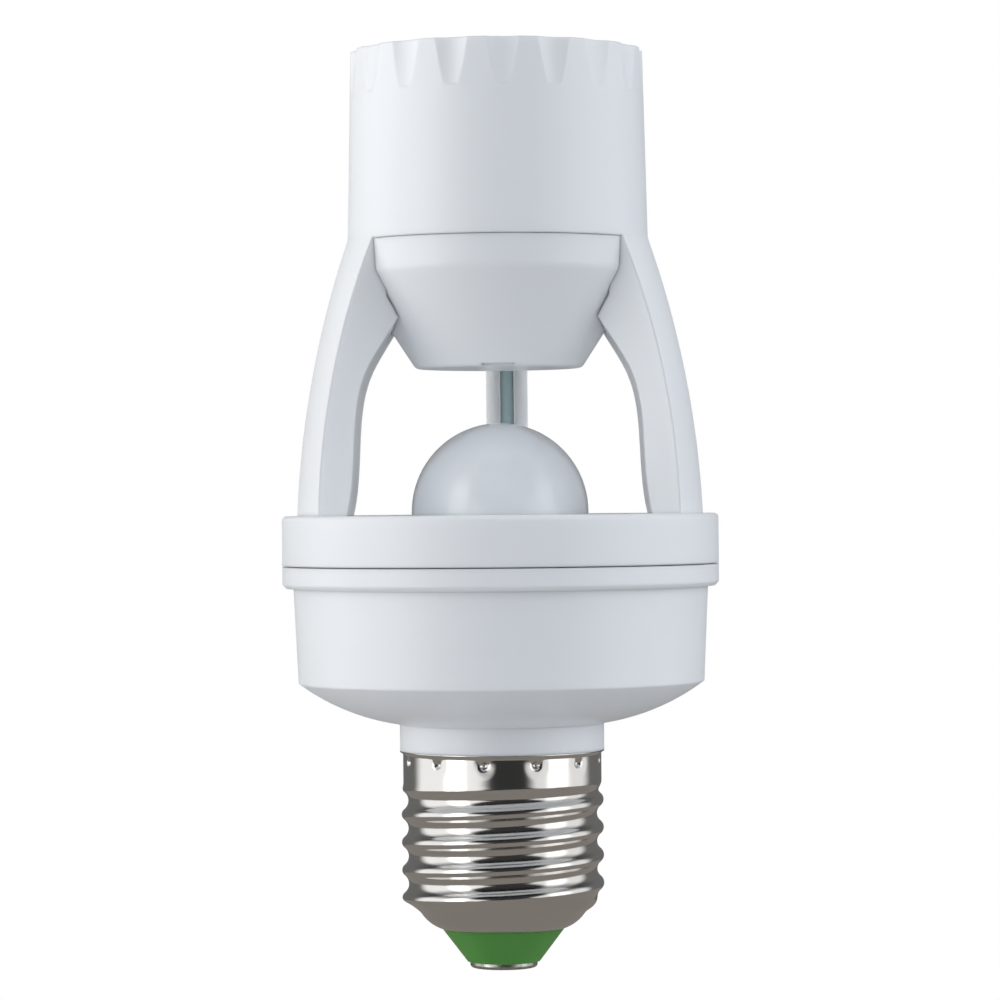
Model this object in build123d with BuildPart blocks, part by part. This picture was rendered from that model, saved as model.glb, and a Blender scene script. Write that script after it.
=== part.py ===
from build123d import *
import os
from math import hypot, radians, tan

# Motion sensor lamp holder with a screw cap below and a lamp socket above, in millimetres.
# The origin is the middle of the centre contact's lower face and +Z runs up the lamp axis.
# The arms stand at +X and -X, and the slot of the lead duct opens towards -Y.

# Clearances
SNUG = 0.05
SLIP = 0.15
OPEN_GAP = 0.3

# Screw thread shared by the cap and the lamp socket: seven turns an inch, rolled with round crests
THREAD_PITCH = 25.4 / 7
THREAD_LIFT = 0.55

# Screw cap
CAP_BAND_R = 12.95
CAP_THREAD_DROP = 0.3
CAP_LIP_REACH = 0.5
CAP_LIP_HEIGHT = 0.8
CAP_WALL = 0.3
CAP_CURL_R = 4.93
CAP_CURL_CENTRE_R = 6.6
CAP_CURL_CENTRE_Z = 9.85
CAP_MOUTH_R = 8.1
CAP_CURL_TOP_Z = 8.0
CAP_THREAD_LOW = 8.8
CAP_THREAD_HIGH = 22.6
CAP_BAND_LOW = 24.3
CAP_TOP = 28.4
DENT_R = 0.9
DENT_DEPTH = 0.55
DENT_DROP = 1.9
DENT_COUNT = 12
DENT_TURN = 20.0

# Centre contact and insulator
CONTACT_R = 4.4
CONTACT_THICK = 0.8
EYELET_WALL = 0.6
EYELET_TOP = 5.0
INSULATOR_TIP_R = 4.75
INSULATOR_TOP = 8.6
INSULATOR_FLANGE_R = 9.3

# Cover of the upper frame, the widest part, which the housing, the arms and the board follow
WALL = 1.8
COVER_R = 28.5
COVER_HEIGHT = 6.6
COVER_EDGE_R = 0.6
SEAM_GROOVE = 0.15
SEAM_GROOVE_DEPTH = 0.9
SNAP_LIP_WALL = 1.4
SNAP_LIP_HEIGHT = 2.5
SNAP_BEAD = 0.3

# Lower housing
NECK_REACH = 0.4
NECK_HEIGHT = 3.5
SPIGOT_LENGTH = 4.0
BOWL_RISE = 5.4
BOWL_SAG = 0.9
BOWL_SIDE_HEIGHT = 12.4
BOWL_SIDE_DRAFT = 0.7
FLANGE_OVERHANG = 1.3
FLANGE_HEIGHT = 2.8
FLANGE_EDGE_R = 0.5

# Dome
DOME_R = 11.55
DOME_LIFT = 0.4
DOME_WALL = 0.7
DOME_FLANGE_R = 13.2
DOME_FLANGE_THICK = 1.0
LENS_RING_R = 13.4

# Arms, whose side faces lean inwards as they near the axis
ARM_LEDGE = 2.0
ARM_BOW = 2.25
ARM_BOW_HEIGHT = 18.7
ARM_REACH = 3.3
ARM_SIDE_SLANT = 0.5
ARM_HALF_WIDTH_FOOT = 13.0
ARM_HALF_WIDTH_MIDDLE = 13.1
ARM_HALF_WIDTH_TOP = 15.6
ARM_CORNER_INSET = 3.4

# Inner edge of the arms, as distances in from their foot and up from the cover
WEB_FOOT_DEPTH = 6.9
WEB_LOWER = (7.85, 8.5)
WEB_MIDDLE = (9.55, 18.7)
WEB_UPPER = (11.3, 21.8)
WEB_TIP = (13.8, 25.7)

# Socket cup
CUP_LIFT = 19.1
CUP_BOTTOM_R = 10.85
CUP_CONE_HEIGHT = 12.5
CUP_CREASE_R = 19.0
CUP_BAND_R = 19.5
CUP_BAND_HEIGHT = 4.0
CUP_SPIGOT_WALL = 1.6
CUP_NOTCH_WIDTH = 4.4
CUP_NOTCH_FOOT = 2.6
CUP_NOTCH_HEIGHT = 0.35
CUP_NOTCH_DEPTH = 1.6

# Socket ring
RING_HEIGHT = 24.8
RING_BOTTOM_R = 19.62
RING_TOP_R = 19.07
RING_BORE_R = 17.2
RIM_THICK = 1.8
MOUTH_R = 14.6
MOUTH_WALL = 1.4
MOUTH_SKIRT = 6.3
SPIGOT_DROP = 7.1
BEAD_DROP = 15.5
FLUTE_COUNT = 18
FLUTE_TURN = 13.0
FLUTE_R = 5.0
FLUTE_DEPTH = 0.6
FLUTE_HEIGHT = 5.9

# Lamp socket inside the cup
BASE_DROP = 2.7
BASE_THICK = 3.5
BASE_RIM_HEIGHT = 1.5
BASE_RIM_WALL = 1.3
SLEEVE_WALL = 0.4
SLEEVE_MEAN_R = 12.8
SLEEVE_FLOOR_R = 9.9
SLEEVE_FOOT_HEIGHT = 4.1
SLEEVE_FADE = 1.0
SLEEVE_DROP = 4.8
SLEEVE_BAND_HEIGHT = 3.4
SLEEVE_THREAD_DROP = 4.5
SLEEVE_LIP_R = 14.5
SLEEVE_RIVET_X = 11.1
LEAF_WIDTH = 6.0
LEAF_THICK = 0.4
LEAF_RIVET_Y = 4.7
LEAF_FOOT_HALF = 2.5
LEAF_HEIGHT = 4.0
LEAF_CREST_Y = -1.0
LEAF_END_Y = -5.0
LEAF_END_DROP = 1.2
RIVET_HEAD_HEIGHT = 0.7
RIVET_R = 0.75
SCREW_R = 1.25
SCREW_HEAD_R = 2.1
SCREW_HEAD_HEIGHT = 1.4
SCREW_SLOT = 0.6
SOCKET_SCREW_X = 6.3
SOCKET_SCREW_Y = -4.2
SCREW_BOSS_R = 2.5
SOCKET_SCREW_BITE = 5.5

# Leads, and their duct a little to the right of the axis
LEAD_R = 0.9
LEAD_BEND = 2.8
LIVE_RISE_Z = 13.0
NEUTRAL_START = (7.0, 7.0, 17.5)
NECK_LEAD_X = 3.5
NECK_LEAD_Y = 8.9
NECK_ENTRY_DROP = 3.4
NECK_EXIT_RISE = 3.6
PAD_BEND_DROP = 7.5
LIVE_PAD = (-9.0, 12.6)
NEUTRAL_PAD = (3.4, 11.2)
LEAD_GAP = 0.25
LEAD_DROP = 0.4
LEAD_SPACING = 0.6
SWITCHED_LEAD_RUN = 6.2
SWITCHED_LEAD_END = (0.7, 0.4)
DUCT_X = 0.95
DUCT_SLOT = 2.05
DUCT_WALL = 1.75
DUCT_FRONT = 13.6
DUCT_BACK_WALL = 1.1
DUCT_SEAT = 1.0

# Circuit board and what stands on it
BOARD_CLEAR = 4.2
BOARD_THICK = 1.6
BOARD_DROP = 0.9
BOARD_SCREW_EDGE = 3.7
BOARD_SCREW_TURN = 45.0
BOARD_SCREW_COUNT = 3
BOARD_SCREW_LENGTH = 6.0
SENSOR_R = 4.1
SENSOR_FLANGE_R = 4.6
SENSOR_FLANGE_THICK = 0.5
SENSOR_HEIGHT = 4.2
SENSOR_LIFT = 3.8
SENSOR_WINDOW = (4.0, 3.0)
SENSOR_WINDOW_DEPTH = 0.3
SENSOR_PIN_CIRCLE_R = 2.54
PIN_R = 0.25

# Parts of the circuit, sizes of the usual catalogue bodies
PHOTOCELL_R = 2.55
PHOTOCELL_THICK = 2.0
PHOTOCELL_Y = 8.0
PHOTOCELL_LIFT = 4.4
PHOTOCELL_WIRE_SPACING = 3.4
CHIP_LENGTH = 9.9
CHIP_WIDTH = 3.9
CHIP_HEIGHT = 1.6
CHIP_CHAMFER = 0.4
CHIP_PINS_A_SIDE = 8
CHIP_PIN_PITCH = 1.27
CHIP_PIN_WIDTH = 0.4
CHIP_PIN_THICK = 0.2
CHIP_PIN_RISE = 1.0
CHIP_PIN_REACH = 1.0
CHIP_PIN_STEP = 0.4
CHIP_MIDDLE = (-8.0, -17.3)
RELAY_SIZE = (19.0, 15.3, 15.0)
RELAY_MIDDLE_X = -4.0
FILM_SIZE = (6.0, 13.0, 12.0)
FILM_MIDDLE_X = 10.5
CASE_EDGE_R = 0.5
SMOOTHING_R = 4.0
SMOOTHING_HEIGHT = 11.5
SMOOTHING_PLACE = (-2.0, 14.5)
TIMING_R = 3.15
TIMING_HEIGHT = 11.0
TIMING_PLACE = (8.3, 12.2)
CAN_GROOVE = 0.25
CAN_GROOVE_DROP = 1.2
CAN_SCORE = 0.4
CAN_EDGE_R = 0.6
DIODE_R = 1.35
DIODE_LENGTH = 5.2
DIODE_SPAN = 10.0
DIODE_MIDDLE_Y = -14.5
DIODE_X = (-13.0, -8.7, -4.4, -0.1)
RESISTOR_R = 1.15
RESISTOR_LENGTH = 6.3
RESISTOR_SPAN = 9.6
RESISTOR_MIDDLE_Y = -12.7
RESISTOR_X = (7.5, 11.3, 15.1)
WIRE_R = 0.3

# Heights worked out from the ones above, from the cap to the rim
SPIGOT_BOTTOM = CAP_TOP - SPIGOT_LENGTH
NECK_TOP = CAP_TOP + NECK_HEIGHT
BOWL_SIDE_LOW_Z = NECK_TOP + BOWL_RISE
FLANGE_BOTTOM = BOWL_SIDE_LOW_Z + BOWL_SIDE_HEIGHT
SEAM_Z = FLANGE_BOTTOM + FLANGE_HEIGHT
BOARD_TOP = SEAM_Z - BOARD_DROP
BOARD_BOTTOM = BOARD_TOP - BOARD_THICK
SENSOR_SEAT_Z = BOARD_TOP + SENSOR_LIFT
PHOTOCELL_Z = BOARD_TOP + PHOTOCELL_LIFT
COVER_TOP = SEAM_Z + COVER_HEIGHT
PLATE_BOTTOM = COVER_TOP - WALL
DOME_CENTRE_Z = COVER_TOP + DOME_LIFT
CUP_BOTTOM = COVER_TOP + CUP_LIFT
CUP_CREASE_Z = CUP_BOTTOM + CUP_CONE_HEIGHT
RING_BOTTOM = CUP_CREASE_Z + CUP_BAND_HEIGHT
ARM_TOP = RING_BOTTOM + ARM_REACH
RING_TOP = RING_BOTTOM + RING_HEIGHT
MOUTH_SKIRT_BOTTOM = RING_TOP - MOUTH_SKIRT
CUP_SPIGOT_TOP = RING_TOP - SPIGOT_DROP
CUP_BEAD_Z = RING_TOP - BEAD_DROP
BASE_BOTTOM = CUP_CREASE_Z - BASE_DROP
BASE_TOP = BASE_BOTTOM + BASE_THICK
LEAF_TOP = BASE_TOP + LEAF_HEIGHT
SLEEVE_TOP = RING_TOP - SLEEVE_DROP
SLEEVE_THREAD_LOW = BASE_TOP + SLEEVE_FOOT_HEIGHT
SLEEVE_THREAD_HIGH = SLEEVE_TOP - SLEEVE_THREAD_DROP
SLEEVE_BAND_LOW = SLEEVE_TOP - SLEEVE_BAND_HEIGHT
DENT_Z = CAP_TOP - DENT_DROP

# Distances from the axis worked out from the ones above
CAP_MEAN_R = CAP_BAND_R - CAP_THREAD_DROP
CAP_LIP_R = CAP_BAND_R + CAP_LIP_REACH
NECK_R = CAP_BAND_R + NECK_REACH
SPIGOT_R = CAP_BAND_R - CAP_WALL - SNUG
SPIGOT_BORE_R = SPIGOT_R - WALL
DENT_CENTRE_R = CAP_BAND_R + DENT_R - DENT_DEPTH
COVER_WALL_R = COVER_R - WALL
BOWL_SIDE_TOP_R = COVER_R - FLANGE_OVERHANG
BOWL_SIDE_LOW_R = BOWL_SIDE_TOP_R - BOWL_SIDE_DRAFT
BOARD_R = COVER_R - BOARD_CLEAR
BOARD_SCREW_RING_R = BOARD_R - BOARD_SCREW_EDGE
ARM_FOOT_R = COVER_R - ARM_LEDGE
ARM_CORNER_X = ARM_FOOT_R - ARM_CORNER_INSET
CUP_SPIGOT_R = RING_BORE_R - SLIP
CUP_BORE_R = CUP_SPIGOT_R - CUP_SPIGOT_WALL
BASE_R = CUP_BORE_R - SLIP
SLEEVE_BAND_R = SLEEVE_MEAN_R + THREAD_LIFT
FRONT_LEAD_Y = DUCT_FRONT + LEAD_R + LEAD_GAP
REAR_LEAD_Y = FRONT_LEAD_Y + 2 * LEAD_R + 2 * SNUG
DUCT_SLOT_END = REAR_LEAD_Y + LEAD_R + SNUG
DUCT_BACK = DUCT_SLOT_END + DUCT_BACK_WALL
DUCT_HALF_WIDTH = DUCT_SLOT / 2 + DUCT_WALL
CONE_RUN = (CUP_CREASE_R - CUP_BOTTOM_R) / CUP_CONE_HEIGHT
CONE_SLANT = hypot(1, CONE_RUN)
ARM_POCKET_Z = CUP_BOTTOM + (RING_BORE_R - CUP_BOTTOM_R - OPEN_GAP * CONE_SLANT) / CONE_RUN
RETURN_LEAD_Z = BASE_BOTTOM - RIVET_HEAD_HEIGHT - LEAD_R - LEAD_DROP
SWITCHED_LEAD_Z = RETURN_LEAD_Z - 2 * LEAD_R - LEAD_SPACING

os.makedirs("parts", exist_ok=True)


def save(part, name):
    part.label = name
    export_step(part, f"parts/{name}.step")


def turned(points, mode=Mode.ADD):
    """Turn a closed outline of (radius, height) points about the lamp axis."""
    with BuildSketch(Plane.XZ) as outline:
        with BuildLine():
            Polyline(*points, close=True)
        make_face()
    revolve(outline.sketch, axis=Axis.Z, mode=mode)


def disc_at(height, radius, angle=None):
    """A flat disc at a height, off centre by the thread's lift where an angle is given."""
    away = Vector(THREAD_LIFT, 0).rotate(Axis.Z, angle) if angle is not None else Vector()
    with BuildSketch(Plane.XY.offset(height)) as disc:
        with Locations((away.X, away.Y)):
            Circle(radius)
    return disc.sketch.face()


def threaded(radius, low, high, plain_low, plain_high, low_radius, high_radius, mode):
    """A rounded thread: a disc whose centre climbs a slim helix, faded into plain ends."""
    end_angle = 180 + 360 * (high - low) / THREAD_PITCH
    slim_helix = Helix(pitch=THREAD_PITCH, height=high - low, radius=THREAD_LIFT)
    climb = Pos(0, 0, low) * Rot(0, 0, 180) * slim_helix
    sweep(disc_at(low, radius, 180), path=climb, normal=(0, 0, 1), mode=mode)
    loft([disc_at(plain_low, low_radius), disc_at(low, radius, 180)], ruled=True, mode=mode)
    loft([disc_at(high, radius, end_angle), disc_at(plain_high, high_radius)], ruled=True, mode=mode)


def cone_r(height, grow=0):
    """The radius of the cup's cone at a height, grown square to its face."""
    return CUP_BOTTOM_R + CONE_RUN * (height - CUP_BOTTOM) + grow * CONE_SLANT


def cup_outline(grow):
    """The cup's outer form below the ring, grown all round by a gap."""
    return [
        (0, CUP_BOTTOM - grow),
        (cone_r(CUP_BOTTOM - grow, grow), CUP_BOTTOM - grow),
        (CUP_CREASE_R + grow, CUP_CREASE_Z),
        (CUP_BAND_R + grow, RING_BOTTOM - SNUG),
        (0, RING_BOTTOM - SNUG),
    ]


def bent_lead(points, radii):
    """An insulated lead swept along straight runs and tangent bends."""
    with BuildPart() as lead:
        with BuildLine() as route:
            FilletPolyline(*points, radius=radii)
        with BuildSketch(Plane(origin=route.line @ 0, z_dir=route.line % 0)):
            Circle(LEAD_R)
        sweep(path=route.line)
    return lead.part


def pan_screw(tip, length):
    """A pan-head screw with a cross recess, pointing up from its head's seat."""
    with BuildPart() as screw:
        with Locations((0, 0, tip)):
            Cylinder(SCREW_R, length, align=(Align.CENTER, Align.CENTER, Align.MIN))
            Cylinder(SCREW_HEAD_R, SCREW_HEAD_HEIGHT, align=(Align.CENTER, Align.CENTER, Align.MAX))
        fillet(screw.edges().filter_by(GeomType.CIRCLE).sort_by(Axis.Z)[0], SCREW_HEAD_HEIGHT / 2)
        with BuildSketch(Plane.XY.offset(tip - SCREW_HEAD_HEIGHT)):
            Rectangle(SCREW_HEAD_R, SCREW_SLOT)
            Rectangle(SCREW_SLOT, SCREW_HEAD_R)
        extrude(amount=SCREW_HEAD_HEIGHT / 2, mode=Mode.SUBTRACT)
    return screw.part


# Centre contact: a pressed disc with a hollow rivet that takes the live lead
with BuildPart() as centre_contact:
    eyelet_r = LEAD_R + SNUG + EYELET_WALL
    turned([
        (0, 0),
        (CONTACT_R, 0),
        (CONTACT_R, CONTACT_THICK),
        (eyelet_r, CONTACT_THICK),
        (eyelet_r, EYELET_TOP),
        (LEAD_R + SNUG, EYELET_TOP),
        (LEAD_R + SNUG, CONTACT_THICK),
        (0, CONTACT_THICK),
    ])
    fillet(centre_contact.edges().filter_by(GeomType.CIRCLE).group_by(Axis.Z)[0], CONTACT_THICK / 2)
save(centre_contact.part, "centre_contact")

# Insulator: a moulded cone whose upper flange sits inside the curled mouth of the shell
with BuildPart() as cap_insulator:
    bore_r = LEAD_R + SNUG + EYELET_WALL + SNUG
    seat_r = CAP_CURL_R - CAP_WALL - SNUG
    flange_z = CAP_CURL_CENTRE_Z - (seat_r**2 - (INSULATOR_FLANGE_R - CAP_CURL_CENTRE_R) ** 2) ** 0.5
    mouth_z = CAP_CURL_CENTRE_Z - (seat_r**2 - (CAP_MOUTH_R - CAP_CURL_CENTRE_R) ** 2) ** 0.5
    cone_top_z = CAP_CURL_CENTRE_Z - (CAP_CURL_R**2 - (CAP_MOUTH_R - CAP_CURL_CENTRE_R) ** 2) ** 0.5
    with BuildSketch(Plane.XZ):
        with BuildLine():
            Polyline(
                (INSULATOR_FLANGE_R, flange_z),
                (INSULATOR_FLANGE_R, INSULATOR_TOP),
                (bore_r, INSULATOR_TOP),
                (bore_r, CONTACT_THICK),
                (INSULATOR_TIP_R, CONTACT_THICK),
                (CAP_MOUTH_R - SNUG, cone_top_z),
                (CAP_MOUTH_R - SNUG, mouth_z),
            )
            RadiusArc((CAP_MOUTH_R - SNUG, mouth_z), (INSULATOR_FLANGE_R, flange_z), -seat_r)
        make_face()
    revolve(axis=Axis.Z)
save(cap_insulator.part, "cap_insulator")


def cap_form(inset, mode):
    """The shell's whole form, taken in from its outer face by the inset."""
    curl_r = CAP_CURL_R - inset
    mouth_z = CAP_CURL_CENTRE_Z - (curl_r**2 - (CAP_MOUTH_R - CAP_CURL_CENTRE_R) ** 2) ** 0.5
    top_r = CAP_CURL_CENTRE_R + (curl_r**2 - (CAP_CURL_CENTRE_Z - CAP_CURL_TOP_Z) ** 2) ** 0.5
    with BuildSketch(Plane.XZ) as curl:
        with BuildLine():
            RadiusArc((CAP_MOUTH_R, mouth_z), (top_r, CAP_CURL_TOP_Z), -curl_r)
            Polyline((top_r, CAP_CURL_TOP_Z), (0, CAP_CURL_TOP_Z), (0, mouth_z), (CAP_MOUTH_R, mouth_z))
        make_face()
    revolve(curl.sketch, axis=Axis.Z, mode=mode)
    threaded(
        CAP_MEAN_R - inset,
        CAP_THREAD_LOW,
        CAP_THREAD_HIGH,
        CAP_CURL_TOP_Z,
        CAP_BAND_LOW,
        top_r,
        CAP_BAND_R - inset,
        mode,
    )
    turned([
        (0, CAP_BAND_LOW),
        (CAP_BAND_R - inset, CAP_BAND_LOW),
        (CAP_BAND_R - inset, CAP_TOP),
        (0, CAP_TOP),
    ], mode)


# Screw shell: thin plated brass, drawn and rolled, punched into the neck all round
with BuildPart() as cap_shell:
    cap_form(0, Mode.ADD)
    cap_form(CAP_WALL, Mode.SUBTRACT)
    turned([(0, 0), (CAP_MOUTH_R, 0), (CAP_MOUTH_R, CAP_CURL_TOP_Z), (0, CAP_CURL_TOP_Z)], Mode.SUBTRACT)
    with Locations((0, 0, DENT_Z)):
        with PolarLocations(DENT_CENTRE_R, DENT_COUNT, start_angle=DENT_TURN):
            Sphere(DENT_R + CAP_WALL)
    turned([
        (CAP_BAND_R, CAP_BAND_LOW),
        (CAP_BAND_R + 2 * DENT_R, CAP_BAND_LOW),
        (CAP_BAND_R + 2 * DENT_R, CAP_TOP),
        (CAP_BAND_R, CAP_TOP),
    ], Mode.SUBTRACT)
    turned([
        (CAP_BAND_R - CAP_WALL, CAP_TOP - CAP_LIP_HEIGHT),
        (CAP_BAND_R, CAP_TOP - CAP_LIP_HEIGHT - CAP_WALL),
        (CAP_LIP_R, CAP_TOP - CAP_LIP_HEIGHT),
        (CAP_LIP_R, CAP_TOP),
        (CAP_BAND_R - CAP_WALL, CAP_TOP),
    ])
    with Locations((0, 0, DENT_Z)):
        with PolarLocations(DENT_CENTRE_R, DENT_COUNT, start_angle=DENT_TURN):
            Sphere(DENT_R, mode=Mode.SUBTRACT)
save(cap_shell.part, "cap_shell")


def bowl_form(inset, top, mode):
    """The bowl's rounded underside and its slightly flared side, taken in by the inset."""
    side_low = (BOWL_SIDE_LOW_R - inset, BOWL_SIDE_LOW_Z + inset / 2)
    neck_corner = (NECK_R - inset, NECK_TOP + inset)
    with BuildSketch(Plane.XZ) as bowl:
        with BuildLine():
            SagittaArc(neck_corner, side_low, -BOWL_SAG)
            Polyline(
                side_low,
                (BOWL_SIDE_TOP_R - inset, top),
                (0, top),
                (0, neck_corner[1]),
                neck_corner,
            )
        make_face()
    revolve(bowl.sketch, axis=Axis.Z, mode=mode)


# Lower housing: a moulded bowl whose neck spigot is punched into the screw shell
with BuildPart() as lower_housing:
    bowl_form(0, SEAM_Z, Mode.ADD)
    fillet(lower_housing.edges().filter_by(GeomType.CIRCLE).group_by(SortBy.RADIUS)[-2], WALL / 2)
    turned([
        (0, FLANGE_BOTTOM),
        (COVER_R - FLANGE_EDGE_R, FLANGE_BOTTOM),
        (COVER_R, FLANGE_BOTTOM + FLANGE_EDGE_R),
        (COVER_R, SEAM_Z),
        (0, SEAM_Z),
    ])
    turned([(0, CAP_TOP), (NECK_R, CAP_TOP), (NECK_R, NECK_TOP + WALL), (0, NECK_TOP + WALL)])
    turned([(0, SPIGOT_BOTTOM), (SPIGOT_R, SPIGOT_BOTTOM), (SPIGOT_R, CAP_TOP), (0, CAP_TOP)])
    lip_r = COVER_WALL_R - SLIP
    turned([
        (0, SEAM_Z),
        (lip_r, SEAM_Z),
        (lip_r, SEAM_Z + SNAP_LIP_HEIGHT - 3 * SNAP_BEAD),
        (lip_r + SNAP_BEAD, SEAM_Z + SNAP_LIP_HEIGHT - 2 * SNAP_BEAD),
        (lip_r, SEAM_Z + SNAP_LIP_HEIGHT - SNAP_BEAD),
        (lip_r - SNAP_BEAD, SEAM_Z + SNAP_LIP_HEIGHT),
        (0, SEAM_Z + SNAP_LIP_HEIGHT),
    ])
    bowl_form(WALL, SEAM_Z, Mode.SUBTRACT)
    turned([
        (0, SEAM_Z),
        (lip_r - SNAP_LIP_WALL, SEAM_Z),
        (lip_r - SNAP_LIP_WALL, SEAM_Z + SNAP_LIP_HEIGHT),
        (0, SEAM_Z + SNAP_LIP_HEIGHT),
    ], Mode.SUBTRACT)
    turned([
        (0, SPIGOT_BOTTOM),
        (SPIGOT_BORE_R, SPIGOT_BOTTOM),
        (SPIGOT_BORE_R, NECK_TOP + WALL),
        (0, NECK_TOP + WALL),
    ], Mode.SUBTRACT)
    with Locations((0, 0, DENT_Z)):
        with PolarLocations(DENT_CENTRE_R, DENT_COUNT, start_angle=DENT_TURN):
            Sphere(DENT_R + CAP_WALL + SNUG, mode=Mode.SUBTRACT)
save(lower_housing.part, "lower_housing")


def arm_sides(away, inset, low, high):
    """The outline of both side faces in a plane across the X axis, at a distance from the arms' corner."""
    shift = ARM_SIDE_SLANT * away - inset * hypot(1, ARM_SIDE_SLANT)
    middle_z = COVER_TOP + ARM_BOW_HEIGHT
    with BuildSketch(Plane.YZ.offset(ARM_CORNER_X + away)) as outline:
        with BuildLine():
            for side in (-1, 1):
                ThreePointArc(
                    (side * (ARM_HALF_WIDTH_FOOT + shift), COVER_TOP),
                    (side * (ARM_HALF_WIDTH_MIDDLE + shift), middle_z),
                    (side * (ARM_HALF_WIDTH_TOP + shift), ARM_TOP),
                )
                Line(
                    (side * (ARM_HALF_WIDTH_FOOT + shift), PLATE_BOTTOM),
                    (side * (ARM_HALF_WIDTH_FOOT + shift), COVER_TOP),
                )
            Line(
                (-ARM_HALF_WIDTH_FOOT - shift, PLATE_BOTTOM),
                (ARM_HALF_WIDTH_FOOT + shift, PLATE_BOTTOM),
            )
            Line(
                (-ARM_HALF_WIDTH_TOP - shift, ARM_TOP),
                (ARM_HALF_WIDTH_TOP + shift, ARM_TOP),
            )
        make_face()
        with Locations((0, low)):
            Rectangle(4 * ARM_HALF_WIDTH_TOP, high - low, align=(Align.CENTER, Align.MIN), mode=Mode.INTERSECT)
    return outline.sketch.face()


def arm_block(inset, low, high):
    """Both arms without their inner edge, taken in all round by an inset."""
    with BuildPart() as block:
        loft([
            arm_sides(-ARM_CORNER_X / 2, inset, low, high),
            arm_sides(COVER_R - ARM_CORNER_X, inset, low, high),
        ], ruled=True)
        mirror(about=Plane.YZ)
        with BuildSketch(Plane.XZ):
            with BuildLine():
                ThreePointArc(
                    (ARM_FOOT_R - inset, COVER_TOP),
                    (ARM_FOOT_R - ARM_BOW - inset, COVER_TOP + ARM_BOW_HEIGHT),
                    (RING_BOTTOM_R - 2 * SNUG - inset, RING_BOTTOM + COVER_EDGE_R),
                )
                Polyline(
                    (RING_BOTTOM_R - 2 * SNUG - inset, RING_BOTTOM + COVER_EDGE_R),
                    (RING_BOTTOM_R - 2 * SNUG - inset, ARM_TOP),
                    (0, ARM_TOP),
                    (0, PLATE_BOTTOM),
                    (ARM_FOOT_R - inset, PLATE_BOTTOM),
                    (ARM_FOOT_R - inset, COVER_TOP),
                )
            make_face()
        revolve(axis=Axis.Z, mode=Mode.INTERSECT)
    return block.part


def web_window(inset):
    """The opening between the arms, whose edge runs up to a tip beside the cup, grown by an inset."""
    def web_point(place):
        return (ARM_FOOT_R - place[0] + inset, COVER_TOP + place[1])

    with BuildPart() as window:
        with BuildSketch(Plane.XZ):
            with BuildLine():
                foot = web_point((WEB_FOOT_DEPTH, 0))
                tip = web_point(WEB_TIP)
                Spline(foot, web_point(WEB_LOWER), web_point(WEB_MIDDLE), web_point(WEB_UPPER), tip)
                Polyline(
                    tip,
                    (0, tip[1]),
                    (0, PLATE_BOTTOM),
                    (foot[0], PLATE_BOTTOM),
                    foot,
                )
            make_face()
            mirror(about=Plane.YZ)
        extrude(amount=COVER_R, both=True)
    return window.part


arms = arm_block(0, PLATE_BOTTOM + SNUG, ARM_TOP)
between_arms = web_window(0)

# The hollow in each arm, open below into the cover
with BuildPart() as arm_hollows:
    add(arm_block(WALL, PLATE_BOTTOM, ARM_POCKET_Z))
    add(web_window(WALL), mode=Mode.SUBTRACT)
    turned(cup_outline(OPEN_GAP + WALL), Mode.SUBTRACT)

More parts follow.
